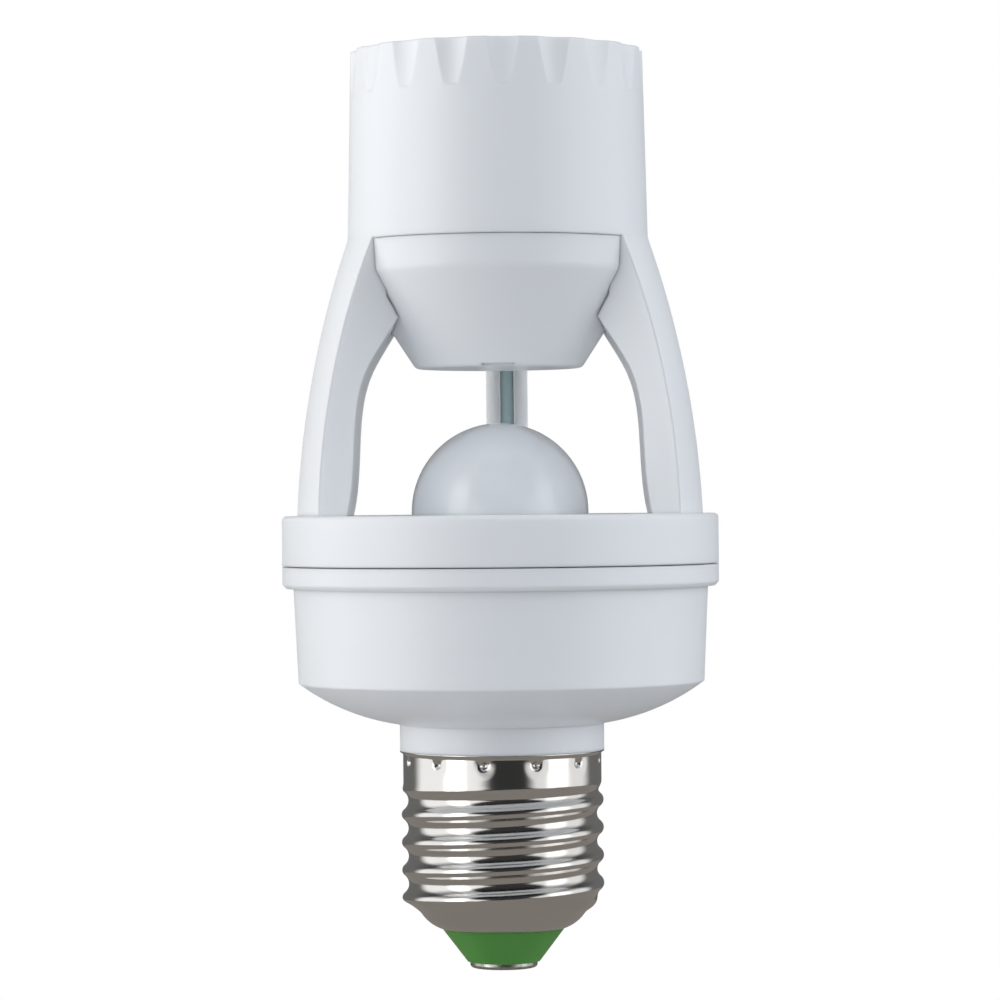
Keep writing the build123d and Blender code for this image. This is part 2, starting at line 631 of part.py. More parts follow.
# Upper frame: cover, arms and socket ring in one moulding
with BuildPart() as upper_frame:
    add(arms)
    add(between_arms, mode=Mode.SUBTRACT)
    turned([
        (0, CUP_BOTTOM - OPEN_GAP),
        (cone_r(CUP_BOTTOM - OPEN_GAP, OPEN_GAP), CUP_BOTTOM - OPEN_GAP),
        (RING_BORE_R, ARM_POCKET_Z),
        (RING_BORE_R, ARM_TOP),
        (0, ARM_TOP),
    ], Mode.SUBTRACT)
    turned([
        (RING_BORE_R, RING_BOTTOM),
        (RING_BOTTOM_R, RING_BOTTOM),
        (RING_TOP_R, RING_TOP),
        (MOUTH_R, RING_TOP),
        (MOUTH_R, MOUTH_SKIRT_BOTTOM),
        (MOUTH_R + MOUTH_WALL, MOUTH_SKIRT_BOTTOM),
        (MOUTH_R + MOUTH_WALL, RING_TOP - RIM_THICK),
        (RING_BORE_R, RING_TOP - RIM_THICK),
        (RING_BORE_R, CUP_BEAD_Z + 2 * SNAP_BEAD),
        (RING_BORE_R + SNAP_BEAD, CUP_BEAD_Z + SNAP_BEAD),
        (RING_BORE_R + SNAP_BEAD, CUP_BEAD_Z - SNAP_BEAD),
        (RING_BORE_R, CUP_BEAD_Z - 2 * SNAP_BEAD),
    ])
    with Locations((0, 0, RING_TOP - FLUTE_HEIGHT / 2)):
        with PolarLocations(RING_TOP_R - FLUTE_DEPTH + FLUTE_R, FLUTE_COUNT, start_angle=FLUTE_TURN):
            Cone(
                FLUTE_R - FLUTE_DEPTH,
                FLUTE_R,
                FLUTE_HEIGHT,
                mode=Mode.SUBTRACT,
            )
    turned([
        (0, PLATE_BOTTOM),
        (COVER_WALL_R, PLATE_BOTTOM),
        (COVER_WALL_R, SEAM_Z + SNAP_LIP_HEIGHT),
        (COVER_WALL_R + SNAP_BEAD + SNUG, SEAM_Z + SNAP_LIP_HEIGHT - 2 * SNAP_BEAD),
        (COVER_WALL_R, SEAM_Z + SNAP_LIP_HEIGHT - 4 * SNAP_BEAD),
        (COVER_WALL_R, SEAM_Z),
        (COVER_R - SEAM_GROOVE_DEPTH, SEAM_Z),
        (COVER_R - SEAM_GROOVE_DEPTH, SEAM_Z + SEAM_GROOVE),
        (COVER_R, SEAM_Z + SEAM_GROOVE),
        (COVER_R, COVER_TOP),
        (0, COVER_TOP),
    ])
    fillet(
        upper_frame.edges().filter_by(GeomType.CIRCLE).filter_by_position(Axis.Z, COVER_TOP - SNUG, COVER_TOP + SNUG)
        .group_by(SortBy.RADIUS)[-1],
        COVER_EDGE_R,
    )
    add(arm_hollows.part, mode=Mode.SUBTRACT)
    with Locations((0, 0, COVER_TOP)):
        Cylinder(DOME_R + SLIP, 2 * WALL, mode=Mode.SUBTRACT)
    with Locations((DUCT_X, (DUCT_FRONT + DUCT_BACK) / 2, COVER_TOP)):
        Box(
            2 * (DUCT_HALF_WIDTH + SNUG),
            DUCT_BACK - DUCT_FRONT + 2 * SNUG,
            DUCT_SEAT,
            align=(Align.CENTER, Align.CENTER, Align.MAX),
            mode=Mode.SUBTRACT,
        )
    with Locations((DUCT_X, (DUCT_FRONT + DUCT_SLOT_END) / 2, COVER_TOP)):
        Box(DUCT_SLOT, DUCT_SLOT_END - DUCT_FRONT, 2 * WALL, mode=Mode.SUBTRACT)
    with Locations((0, 0, BOARD_TOP)):
        with PolarLocations(BOARD_SCREW_RING_R, BOARD_SCREW_COUNT, start_angle=BOARD_SCREW_TURN):
            Cylinder(SCREW_BOSS_R, PLATE_BOTTOM - BOARD_TOP, align=(Align.CENTER, Align.CENTER, Align.MIN))
            Cylinder(
                SCREW_R + SNUG,
                BOARD_SCREW_LENGTH,
                align=(Align.CENTER, Align.CENTER, Align.MIN),
                mode=Mode.SUBTRACT,
            )
save(upper_frame.part, "upper_frame")

# What the arms take out of the cup where they rise past it to the ring
with BuildPart() as arm_pockets:
    add(arm_block(-SLIP, CUP_BOTTOM, RING_BOTTOM))
    with Locations((0, 0, CUP_BOTTOM)):
        Cylinder(
            CUP_SPIGOT_R,
            RING_BOTTOM - CUP_BOTTOM,
            align=(Align.CENTER, Align.CENTER, Align.MIN),
            mode=Mode.SUBTRACT,
        )

# Socket cup: a moulded cone with a spigot that snaps into the ring
with BuildPart() as socket_cup:
    turned(cup_outline(0))
    fillet(socket_cup.edges().filter_by(GeomType.CIRCLE).sort_by(Axis.Z)[:1], WALL / 2)
    fillet(
        socket_cup.edges().filter_by(GeomType.CIRCLE).filter_by_position(Axis.Z, CUP_CREASE_Z - SNUG, CUP_CREASE_Z + SNUG),
        WALL,
    )
    add(arm_pockets.part, mode=Mode.SUBTRACT)
    turned([
        (0, CUP_CREASE_Z),
        (CUP_SPIGOT_R, CUP_CREASE_Z),
        (CUP_SPIGOT_R, CUP_BEAD_Z - SNAP_BEAD),
        (CUP_SPIGOT_R + SNAP_BEAD, CUP_BEAD_Z),
        (CUP_SPIGOT_R, CUP_BEAD_Z + SNAP_BEAD),
        (CUP_SPIGOT_R, CUP_SPIGOT_TOP),
        (0, CUP_SPIGOT_TOP),
    ])
    cavity_floor = CUP_BOTTOM + WALL
    turned([
        (0, cavity_floor),
        (cone_r(cavity_floor, -WALL), cavity_floor),
        (cone_r(BASE_BOTTOM, -WALL), BASE_BOTTOM),
        (CUP_BORE_R, BASE_BOTTOM),
        (CUP_BORE_R, CUP_SPIGOT_TOP),
        (0, CUP_SPIGOT_TOP),
    ], Mode.SUBTRACT)
    with Locations((SOCKET_SCREW_X, SOCKET_SCREW_Y, cavity_floor), (-SOCKET_SCREW_X, SOCKET_SCREW_Y, cavity_floor)):
        Cylinder(SCREW_BOSS_R, BASE_BOTTOM - cavity_floor, align=(Align.CENTER, Align.CENTER, Align.MIN))
        Cylinder(
            SCREW_R + SNUG,
            BASE_BOTTOM - cavity_floor,
            align=(Align.CENTER, Align.CENTER, Align.MIN),
            mode=Mode.SUBTRACT,
        )
    with Locations((DUCT_X, CUP_BOTTOM_R, SWITCHED_LEAD_Z - 2 * LEAD_R)):
        Box(
            2 * (LEAD_R + SLIP),
            DUCT_BACK,
            RETURN_LEAD_Z - SWITCHED_LEAD_Z + 3 * LEAD_R + SLIP,
            align=(Align.CENTER, Align.MIN, Align.MIN),
            mode=Mode.SUBTRACT,
        )
    with BuildSketch(Plane.XZ.offset(CUP_BOTTOM_R + CUP_NOTCH_HEIGHT)):
        with BuildLine():
            Polyline(
                (-CUP_NOTCH_FOOT / 2, CUP_BOTTOM - CUP_NOTCH_HEIGHT),
                (CUP_NOTCH_FOOT / 2, CUP_BOTTOM - CUP_NOTCH_HEIGHT),
                (CUP_NOTCH_WIDTH / 2, CUP_BOTTOM + CUP_NOTCH_HEIGHT),
                (-CUP_NOTCH_WIDTH / 2, CUP_BOTTOM + CUP_NOTCH_HEIGHT),
                close=True,
            )
        make_face()
    extrude(amount=-CUP_NOTCH_DEPTH, mode=Mode.SUBTRACT)
save(socket_cup.part, "socket_cup")

# Lead duct: a moulded U-channel seated in the cover, its upper end scribed to the cup
with BuildPart() as lead_duct:
    with BuildSketch(Plane.XY.offset(COVER_TOP - DUCT_SEAT)):
        with Locations((DUCT_X, (DUCT_FRONT + DUCT_BACK) / 2)):
            Rectangle(2 * DUCT_HALF_WIDTH, DUCT_BACK - DUCT_FRONT)
        with Locations((DUCT_X, (DUCT_FRONT + DUCT_SLOT_END) / 2)):
            Rectangle(DUCT_SLOT, DUCT_SLOT_END - DUCT_FRONT, mode=Mode.SUBTRACT)
    extrude(amount=CUP_CREASE_Z - COVER_TOP)
    fillet(lead_duct.edges().filter_by(Axis.Z).group_by(Axis.Y)[-1], DUCT_BACK_WALL / 2)
    turned(cup_outline(2 * SNUG), Mode.SUBTRACT)
save(lead_duct.part, "lead_duct")

# Dome lens: a half ball of thin clear-white plastic with a flange under the cover
with BuildPart() as dome_lens:
    with Locations((0, 0, DOME_CENTRE_Z)):
        Sphere(DOME_R)
    with Locations((0, 0, PLATE_BOTTOM)):
        Cylinder(DOME_R, DOME_CENTRE_Z - PLATE_BOTTOM, align=(Align.CENTER, Align.CENTER, Align.MIN))
        Cylinder(DOME_FLANGE_R, DOME_FLANGE_THICK, align=(Align.CENTER, Align.CENTER, Align.MAX))
    with Locations((0, 0, DOME_CENTRE_Z)):
        Sphere(DOME_R - DOME_WALL, mode=Mode.SUBTRACT)
    with Locations((0, 0, DOME_CENTRE_Z)):
        Cylinder(
            DOME_R - DOME_WALL,
            DOME_R,
            align=(Align.CENTER, Align.CENTER, Align.MAX),
            mode=Mode.SUBTRACT,
        )
    lens_foot = PLATE_BOTTOM - DOME_FLANGE_THICK
    split(bisect_by=Plane.XY.offset(lens_foot), keep=Keep.TOP)
save(dome_lens.part, "dome_lens")

# Lens ring: a plastic collar between the board and the lens flange
with BuildPart() as lens_ring:
    with BuildSketch(Plane.XY.offset(BOARD_TOP)):
        Circle(LENS_RING_R)
        Circle(DOME_R + SLIP, mode=Mode.SUBTRACT)
    extrude(amount=lens_foot - BOARD_TOP)
save(lens_ring.part, "lens_ring")

# Circuit board: a round board screwed up into the cover's bosses
with BuildPart() as circuit_board:
    with BuildSketch(Plane.XY.offset(BOARD_BOTTOM)):
        Circle(BOARD_R)
        with PolarLocations(BOARD_SCREW_RING_R, BOARD_SCREW_COUNT, start_angle=BOARD_SCREW_TURN):
            Circle(SCREW_R + SLIP, mode=Mode.SUBTRACT)
        with PolarLocations(SENSOR_PIN_CIRCLE_R, 3, start_angle=90, angular_range=360):
            Circle(PIN_R + SLIP, mode=Mode.SUBTRACT)
    extrude(amount=BOARD_THICK)
save(circuit_board.part, "circuit_board")

# Three screws hold the board
board_screw = pan_screw(BOARD_BOTTOM, BOARD_SCREW_LENGTH)
with BuildPart() as board_screws:
    with PolarLocations(BOARD_SCREW_RING_R, BOARD_SCREW_COUNT, start_angle=BOARD_SCREW_TURN):
        add(board_screw)
save(board_screws.part, "board_screws")

# Motion sensor: a flanged metal can with a square window and three pins through the board
with BuildPart() as pir_sensor:
    with Locations((0, 0, SENSOR_SEAT_Z)):
        Cylinder(SENSOR_FLANGE_R, SENSOR_FLANGE_THICK, align=(Align.CENTER, Align.CENTER, Align.MIN))
        Cylinder(SENSOR_R, SENSOR_HEIGHT, align=(Align.CENTER, Align.CENTER, Align.MIN))
    fillet(pir_sensor.edges().filter_by(GeomType.CIRCLE).group_by(Axis.Z)[-1], CASE_EDGE_R)
    with BuildSketch(Plane.XY.offset(SENSOR_SEAT_Z + SENSOR_HEIGHT)):
        RectangleRounded(*SENSOR_WINDOW, SENSOR_WINDOW_DEPTH)
    extrude(amount=-SENSOR_WINDOW_DEPTH, mode=Mode.SUBTRACT)
    with Locations((0, 0, SENSOR_SEAT_Z)):
        with PolarLocations(SENSOR_PIN_CIRCLE_R, 3, start_angle=90, angular_range=360):
            Cylinder(PIN_R, SENSOR_SEAT_Z - BOARD_BOTTOM, align=(Align.CENTER, Align.CENTER, Align.MAX))
save(pir_sensor.part, "pir_sensor")

# Spacer that lifts the sensor to the middle of the dome
with BuildPart() as sensor_spacer:
    with BuildSketch(Plane.XY.offset(BOARD_TOP)):
        Circle(SENSOR_R)
        with PolarLocations(SENSOR_PIN_CIRCLE_R, 3, start_angle=90, angular_range=360):
            Circle(PIN_R + SLIP, mode=Mode.SUBTRACT)
    extrude(amount=SENSOR_SEAT_Z - BOARD_TOP)
save(sensor_spacer.part, "sensor_spacer")

# Photocell: a flat disc on two wires beside the sensor
with BuildPart() as photocell:
    with Locations((0, PHOTOCELL_Y, PHOTOCELL_Z)):
        Cylinder(PHOTOCELL_R, PHOTOCELL_THICK, align=(Align.CENTER, Align.CENTER, Align.MAX))
        with GridLocations(PHOTOCELL_WIRE_SPACING, 0, 2, 1):
            Cylinder(WIRE_R, PHOTOCELL_Z - BOARD_TOP, align=(Align.CENTER, Align.CENTER, Align.MAX))
save(photocell.part, "photocell")

# Control chip: a small-outline body with eight feet a side on the board's upper face
with BuildPart() as control_chip:
    with Locations((*CHIP_MIDDLE, BOARD_TOP + SLIP)):
        Box(CHIP_LENGTH, CHIP_WIDTH, CHIP_HEIGHT, align=(Align.CENTER, Align.CENTER, Align.MIN))
    chamfer(control_chip.edges().filter_by(Axis.X).group_by(Axis.Z)[-1].sort_by(Axis.Y)[0], CHIP_CHAMFER)
    body_side = CHIP_WIDTH / 2
    foot = [
        (CHIP_PIN_REACH, 0),
        (CHIP_PIN_REACH, CHIP_PIN_THICK),
        (CHIP_PIN_REACH - CHIP_PIN_STEP, CHIP_PIN_THICK),
        (CHIP_PIN_REACH - CHIP_PIN_STEP, CHIP_PIN_RISE),
        (-CHIP_PIN_THICK, CHIP_PIN_RISE),
        (-CHIP_PIN_THICK, CHIP_PIN_RISE - CHIP_PIN_THICK),
        (CHIP_PIN_STEP, CHIP_PIN_RISE - CHIP_PIN_THICK),
        (CHIP_PIN_STEP, 0),
    ]
    pins_run = CHIP_PIN_PITCH * (CHIP_PINS_A_SIDE - 1)
    for pin in range(CHIP_PINS_A_SIDE):
        pin_x = CHIP_MIDDLE[0] + pin * CHIP_PIN_PITCH - pins_run / 2
        for side in (-1, 1):
            with BuildSketch(Plane.YZ.offset(pin_x)):
                with BuildLine():
                    Polyline(
                        *[(CHIP_MIDDLE[1] + side * (body_side + reach), BOARD_TOP + rise) for reach, rise in foot],
                        close=True,
                    )
                make_face()
            extrude(amount=CHIP_PIN_WIDTH / 2, both=True)
save(control_chip.part, "control_chip")

# Relay: a plain sealed box under the board
with BuildPart() as relay:
    with Locations((RELAY_MIDDLE_X, 0, BOARD_BOTTOM)):
        Box(*RELAY_SIZE, align=(Align.CENTER, Align.CENTER, Align.MAX))
    fillet(relay.edges().filter_by(Axis.Z), CASE_EDGE_R)
    fillet(relay.faces().sort_by(Axis.Z)[0].edges(), CASE_EDGE_R)
save(relay.part, "relay")

# Film capacitor: a resin-filled box under the board
with BuildPart() as film_capacitor:
    with Locations((FILM_MIDDLE_X, 0, BOARD_BOTTOM)):
        Box(*FILM_SIZE, align=(Align.CENTER, Align.CENTER, Align.MAX))
    fillet(film_capacitor.edges().filter_by(Axis.Z), CASE_EDGE_R)
save(film_capacitor.part, "film_capacitor")


def can_capacitor(place, radius, height):
    """A round can hanging from the board, with a rolled groove near the board and a scored end."""
    x, y = place
    with BuildPart() as can:
        with BuildSketch(Plane.XZ) as outline:
            with BuildLine():
                Polyline(
                    (0, 0),
                    (radius, 0),
                    (radius, -CAN_GROOVE_DROP),
                    (radius - CAN_GROOVE, -CAN_GROOVE_DROP - CAN_SCORE),
                    (radius, -CAN_GROOVE_DROP - 2 * CAN_SCORE),
                    (radius, -height),
                    (0, -height),
                    close=True,
                )
            make_face()
        revolve(axis=Axis.Z)
        fillet(can.edges().filter_by(GeomType.CIRCLE).sort_by(Axis.Z)[0], CAN_EDGE_R)
        with BuildSketch(Plane.XY.offset(-height)):
            Rectangle(radius, CAN_SCORE)
            Rectangle(CAN_SCORE, radius)
        extrude(amount=CAN_SCORE / 2, mode=Mode.SUBTRACT)
    return can.part.moved(Location((x, y, BOARD_BOTTOM)))


save(can_capacitor(SMOOTHING_PLACE, SMOOTHING_R, SMOOTHING_HEIGHT), "smoothing_capacitor")
save(can_capacitor(TIMING_PLACE, TIMING_R, TIMING_HEIGHT), "timing_capacitor")


def axial_part(radius, length, span):
    """A small round body lying under the board on its two bent wires."""
    middle_z = BOARD_BOTTOM - radius - SLIP
    wire_bend = 2 * WIRE_R
    with BuildPart() as axial:
        with BuildLine() as wire:
            FilletPolyline(
                (0, -span / 2, BOARD_BOTTOM),
                (0, -span / 2, middle_z),
                (0, span / 2, middle_z),
                (0, span / 2, BOARD_BOTTOM),
                radius=wire_bend,
            )
        with BuildSketch(Plane(origin=wire.line @ 0, z_dir=wire.line % 0)):
            Circle(WIRE_R)
        sweep(path=wire.line)
        with Locations(Location((0, 0, middle_z), (90, 0, 0))):
            Cylinder(radius, length)
    return axial.part


diode = axial_part(DIODE_R, DIODE_LENGTH, DIODE_SPAN)
with BuildPart() as rectifier_diodes:
    with Locations([(x, DIODE_MIDDLE_Y, 0) for x in DIODE_X]):
        add(diode)
save(rectifier_diodes.part, "rectifier_diodes")

resistor = axial_part(RESISTOR_R, RESISTOR_LENGTH, RESISTOR_SPAN)
with BuildPart() as resistors:
    with Locations([(x, RESISTOR_MIDDLE_Y, 0) for x in RESISTOR_X]):
        add(resistor)
save(resistors.part, "resistors")

# Socket base: a moulded insulating disc with a rim that centres the sleeve
with BuildPart() as socket_base:
    rim_bore_r = SLEEVE_MEAN_R + SLEEVE_WALL + SLIP
    turned([
        (0, BASE_BOTTOM),
        (BASE_R, BASE_BOTTOM),
        (BASE_R, BASE_TOP),
        (rim_bore_r + BASE_RIM_WALL, BASE_TOP),
        (rim_bore_r + BASE_RIM_WALL, BASE_TOP + BASE_RIM_HEIGHT),
        (rim_bore_r, BASE_TOP + BASE_RIM_HEIGHT),
        (rim_bore_r, BASE_TOP),
        (0, BASE_TOP),
    ])
    with Locations((0, 0, BASE_BOTTOM)):
        with Locations((SOCKET_SCREW_X, SOCKET_SCREW_Y), (-SOCKET_SCREW_X, SOCKET_SCREW_Y)):
            Cylinder(SCREW_R + SLIP, BASE_THICK, align=(Align.CENTER, Align.CENTER, Align.MIN), mode=Mode.SUBTRACT)
        with Locations((SLEEVE_RIVET_X, 0), (-SLEEVE_RIVET_X, 0)):
            Cylinder(RIVET_R + SNUG, BASE_THICK, align=(Align.CENTER, Align.CENTER, Align.MIN), mode=Mode.SUBTRACT)
        with Locations((0, LEAF_RIVET_Y)):
            Cylinder(RIVET_R + SNUG, BASE_THICK, align=(Align.CENTER, Align.CENTER, Align.MIN), mode=Mode.SUBTRACT)
save(socket_base.part, "socket_base")


def sleeve_form(radius_shift, mode):
    """The sleeve's whole form, grown from its inner face."""
    mean = SLEEVE_MEAN_R + radius_shift
    foot = BASE_TOP if radius_shift else BASE_TOP + SLEEVE_WALL
    fade_low = SLEEVE_THREAD_LOW - SLEEVE_FADE
    turned([(0, foot), (mean, foot), (mean, fade_low), (0, fade_low)], mode)
    threaded(
        mean,
        SLEEVE_THREAD_LOW,
        SLEEVE_THREAD_HIGH,
        fade_low,
        SLEEVE_BAND_LOW,
        mean,
        SLEEVE_BAND_R + radius_shift,
        mode,
    )
    turned([
        (0, SLEEVE_BAND_LOW),
        (SLEEVE_BAND_R + radius_shift, SLEEVE_BAND_LOW),
        (SLEEVE_BAND_R + radius_shift, SLEEVE_TOP),
        (0, SLEEVE_TOP),
    ], mode)


# Lamp sleeve: thin plated brass, threaded to take the lamp, its floor riveted to the base
with BuildPart() as lamp_sleeve:
    sleeve_form(SLEEVE_WALL, Mode.ADD)
    turned([
        (SLEEVE_BAND_R, SLEEVE_TOP - SLEEVE_WALL),
        (SLEEVE_LIP_R, SLEEVE_TOP - SLEEVE_WALL),
        (SLEEVE_LIP_R, SLEEVE_TOP),
        (SLEEVE_BAND_R, SLEEVE_TOP),
    ])
    sleeve_form(0, Mode.SUBTRACT)
    with Locations((0, 0, BASE_TOP)):
        Cylinder(SLEEVE_FLOOR_R, SLEEVE_WALL, align=(Align.CENTER, Align.CENTER, Align.MIN), mode=Mode.SUBTRACT)
        with Locations((SLEEVE_RIVET_X, 0), (-SLEEVE_RIVET_X, 0)):
            Cylinder(RIVET_R + SNUG, SLEEVE_WALL, align=(Align.CENTER, Align.CENTER, Align.MIN), mode=Mode.SUBTRACT)
save(lamp_sleeve.part, "lamp_sleeve")


def rivet(place, thick):
    """A rivet through the base, with a head on the metal above and a spread tail below."""
    x, y = place
    with BuildPart() as pin:
        turned([
            (0, BASE_BOTTOM - RIVET_HEAD_HEIGHT),
            (1.8 * RIVET_R, BASE_BOTTOM - RIVET_HEAD_HEIGHT),
            (2.0 * RIVET_R, BASE_BOTTOM),
            (RIVET_R, BASE_BOTTOM),
            (RIVET_R, BASE_TOP + thick),
            (1.5 * RIVET_R, BASE_TOP + thick),
            (1.2 * RIVET_R, BASE_TOP + thick + RIVET_HEAD_HEIGHT),
            (0, BASE_TOP + thick + RIVET_HEAD_HEIGHT),
        ])
    return pin.part.moved(Location((x, y, 0)))


sleeve_rivet = rivet((0, 0), SLEEVE_WALL)
with BuildPart() as sleeve_rivets:
    with Locations((SLEEVE_RIVET_X, 0), (-SLEEVE_RIVET_X, 0)):
        add(sleeve_rivet)
save(sleeve_rivets.part, "sleeve_rivets")
save(rivet((0, LEAF_RIVET_Y), LEAF_THICK), "leaf_rivet")

# Contact leaf: a springy bronze strip riveted to the base, bent up to meet the lamp's tip
with BuildPart() as contact_leaf:
    leaf_z = BASE_TOP + LEAF_THICK / 2
    with BuildLine() as leaf_line:
        FilletPolyline(
            (0, LEAF_RIVET_Y + LEAF_FOOT_HALF, leaf_z),
            (0, LEAF_RIVET_Y - LEAF_FOOT_HALF, leaf_z),
            (0, LEAF_CREST_Y, LEAF_TOP),
            (0, LEAF_END_Y, LEAF_TOP - LEAF_END_DROP),
            radius=LEAF_END_DROP,
        )
    with BuildSketch(Plane(origin=leaf_line.line @ 0, x_dir=(1, 0, 0), z_dir=leaf_line.line % 0)):
        Rectangle(LEAF_WIDTH, LEAF_THICK)
    sweep(path=leaf_line.line)
    with Locations((0, LEAF_RIVET_Y, BASE_TOP)):
        Cylinder(
            RIVET_R + SNUG,
            LEAF_THICK,
            align=(Align.CENTER, Align.CENTER, Align.MIN),
            mode=Mode.SUBTRACT,
        )
save(contact_leaf.part, "contact_leaf")

# Two screws hold the base down in the cup
socket_screw = pan_screw(0, BASE_THICK + SOCKET_SCREW_BITE)
with BuildPart() as socket_screws:
    with Locations(
        Location((SOCKET_SCREW_X, SOCKET_SCREW_Y, BASE_TOP), (180, 0, 0)),
        Location((-SOCKET_SCREW_X, SOCKET_SCREW_Y, BASE_TOP), (180, 0, 0)),
    ):
        add(socket_screw)
save(socket_screws.part, "socket_screws")

# Leads from the cap up to the board: the live one from the contact, the neutral one from the shell
neck_entry_z = CAP_TOP - NECK_ENTRY_DROP
neck_exit_z = NECK_TOP + NECK_EXIT_RISE
pad_bend_z = BOARD_BOTTOM - PAD_BEND_DROP
live_lead = bent_lead([
    (0, 0, CONTACT_THICK),
    (0, 0, LIVE_RISE_Z),
    (-NECK_LEAD_X, NECK_LEAD_Y, neck_entry_z),
    (-NECK_LEAD_X, NECK_LEAD_Y, neck_exit_z),
    (*LIVE_PAD, pad_bend_z),
    (*LIVE_PAD, BOARD_BOTTOM),
], LEAD_BEND)
save(live_lead, "live_lead")

neutral_lead = bent_lead([
    NEUTRAL_START,
    (NECK_LEAD_X, NECK_LEAD_Y, neck_entry_z),
    (NECK_LEAD_X, NECK_LEAD_Y, neck_exit_z),
    (*NEUTRAL_PAD, pad_bend_z),
    (*NEUTRAL_PAD, BOARD_BOTTOM),
], LEAD_BEND)
save(neutral_lead, "neutral_lead")

# Leads from the board up the duct: the front one to the sleeve, the rear one to the contact leaf
sleeve_end_x, sleeve_end_y = SWITCHED_LEAD_END
switched_lead = bent_lead([
    (DUCT_X, FRONT_LEAD_Y, BOARD_TOP),
    (DUCT_X, FRONT_LEAD_Y, SWITCHED_LEAD_Z),
    (DUCT_X, FRONT_LEAD_Y - SWITCHED_LEAD_RUN, SWITCHED_LEAD_Z),
    (sleeve_end_x - SLEEVE_RIVET_X, sleeve_end_y, RETURN_LEAD_Z - 2 * SNUG),
], LEAD_BEND)
save(switched_lead, "switched_lead")

return_lead = bent_lead([
    (DUCT_X, REAR_LEAD_Y, BOARD_TOP),
    (DUCT_X, REAR_LEAD_Y, RETURN_LEAD_Z),
    (DUCT_X, LEAF_RIVET_Y, RETURN_LEAD_Z),
], LEAD_BEND)
save(return_lead, "return_lead")
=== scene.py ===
import math

import bmesh
import bpy
from mathutils import Matrix


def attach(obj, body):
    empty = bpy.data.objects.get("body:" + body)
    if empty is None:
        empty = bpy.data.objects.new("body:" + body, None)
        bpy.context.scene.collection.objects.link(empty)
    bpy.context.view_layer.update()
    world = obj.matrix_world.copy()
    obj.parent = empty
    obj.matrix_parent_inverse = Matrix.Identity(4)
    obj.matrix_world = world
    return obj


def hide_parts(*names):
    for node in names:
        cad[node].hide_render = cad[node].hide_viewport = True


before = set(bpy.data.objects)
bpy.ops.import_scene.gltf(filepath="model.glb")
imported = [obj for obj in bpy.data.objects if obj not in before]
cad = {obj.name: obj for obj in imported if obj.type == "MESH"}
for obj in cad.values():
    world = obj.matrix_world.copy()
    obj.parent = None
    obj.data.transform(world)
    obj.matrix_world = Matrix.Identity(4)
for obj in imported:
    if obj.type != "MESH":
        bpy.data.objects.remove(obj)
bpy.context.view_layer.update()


# Centre contact: a pressed and tinned steel disc at the very tip of the cap, held by a
# hollow rivet through the insulator. Its edge is rolled round and its face is a little
# scuffed by the socket's spring.
class Signal:
    """One output of a shader node, written in sums and products like a number."""

    def __init__(self, socket):
        self.socket = socket

    def math(self, operation, *others, swap=False):
        node = self.socket.id_data.nodes.new("ShaderNodeMath")
        node.operation = operation
        terms = [*others, self] if swap else [self, *others]
        for place, term in enumerate(terms):
            if isinstance(term, Signal):
                self.socket.id_data.links.new(term.socket, node.inputs[place])
            else:
                node.inputs[place].default_value = term
        return Signal(node.outputs[0])

    def __add__(self, other):
        return self.math("ADD", other)

    __radd__ = __add__

    def __mul__(self, other):
        return self.math("MULTIPLY", other)

    __rmul__ = __mul__

    def __sub__(self, other):
        return self.math("SUBTRACT", other)

    def __rsub__(self, other):
        return self.math("SUBTRACT", other, swap=True)

    def __abs__(self):
        return self.math("ABSOLUTE")


class Finish:
    """A node tree that is being filled: a material's, or the world's."""

    def __init__(self, owner):
        self.owner = owner
        owner.use_nodes = True
        self.tree = owner.node_tree
        self.tree.nodes.clear()

    def node(self, kind, settings=None, inputs=None, output=0):
        """Adds a node, makes its settings, fills its sockets and gives one of its outputs."""
        made = self.tree.nodes.new("ShaderNode" + kind)
        for name, value in (settings or {}).items():
            setattr(made, name, value)
        for name, value in (inputs or {}).items():
            if isinstance(value, Signal):
                self.tree.links.new(value.socket, made.inputs[name])
            else:
                made.inputs[name].default_value = value
        return Signal(made.outputs[output]) if made.outputs else None

    def place(self):
        """Where a point of the piece lies, in metres in the object's own frame."""
        return self.node("TexCoord", output="Object")

    def noise(self, size, detail=2.0, roughness=0.5, where=None):
        """A soft random pattern from 0 to 1, its patches about the given size in metres."""
        inputs = {"Vector": where or self.place(), "Scale": 1.0 / size}
        inputs.update({"Detail": detail, "Roughness": roughness})
        return self.node("TexNoise", {"noise_dimensions": "3D"}, inputs)

    def blend(self, mask, first, second):
        """The first colour where the mask is 0 and the second where it is 1."""
        inputs = {0: mask, 6: (*first, 1), 7: (*second, 1)}
        return self.node("Mix", {"data_type": "RGBA"}, inputs, output=2)

    def ease(self, value, low, high, start=0.0, end=1.0):
        """The value's stretch from low to high, eased into the stretch from start to end."""
        return self.node(
            "MapRange",
            {"interpolation_type": "SMOOTHSTEP"},
            {"Value": value, "From Min": low, "From Max": high, "To Min": start, "To Max": end},
        )

    def bump(self, height, distance, strength=1.0, normal=None):
        """A surface normal raised by a height pattern, the distance in metres."""
        inputs = {"Height": height, "Distance": distance, "Strength": strength}
        if normal:
            inputs["Normal"] = normal
        return self.node("Bump", inputs=inputs)

    def soft_edges(self, radius):
        """The surface normal with its sharp edges eased by a radius in metres."""
        return self.node("Bevel", {"samples": 6}, {"Radius": radius})

    def surface(self, **sockets):
        """Ends the material in one Principled surface."""
        inputs = {name.replace("_", " "): value for name, value in sockets.items()}
        shader = self.node("BsdfPrincipled", inputs=inputs)
        self.node("OutputMaterial", inputs={"Surface": shader})
        return self.owner


